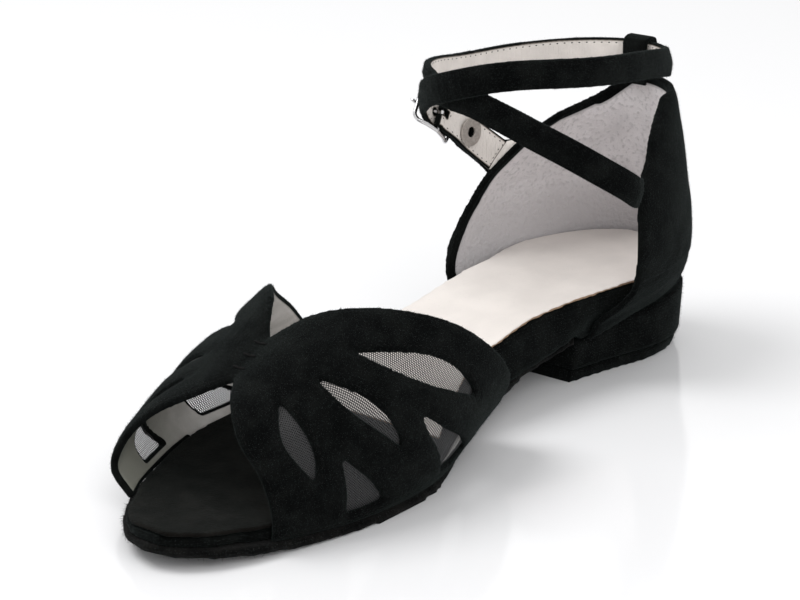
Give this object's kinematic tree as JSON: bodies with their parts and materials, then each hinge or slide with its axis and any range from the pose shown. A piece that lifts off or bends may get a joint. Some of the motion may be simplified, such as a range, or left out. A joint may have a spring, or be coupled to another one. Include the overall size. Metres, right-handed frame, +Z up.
{
  "type": "dance shoe",
  "caption": "Right dance sandal with a low block heel, open toe, fan-cut vamp, closed heel counter and a long buckled strap that crosses in front of the ankle.",
  "frame": {"origin": "middle of the heel's flat ground face", "axes": "+X to the toe, +Y to the medial side, +Z up"},
  "size_m": [0.2397, 0.0922, 0.1094],
  "materials": {
    "black_suede": "suede nap",
    "light_leather": "smooth, low sheen",
    "silver_wire": "polished",
    "rivet_metal": "satin"
  },
  "bodies": {
    "root": {"outsole": "black_suede", "insole": "black_suede", "sock_heel": "light_leather", "sock_toe": "black_suede", "heel_block": "black_suede", "heel_lift": "black_suede", "vamp": "black_suede", "counter": "black_suede", "ankle_strap": "black_suede", "buckle_tab": "black_suede", "buckle_frame": "silver_wire", "buckle_prong": "silver_wire", "rivet": "rivet_metal", "heel_loop": "black_suede"}
  },
  "joints": []
}
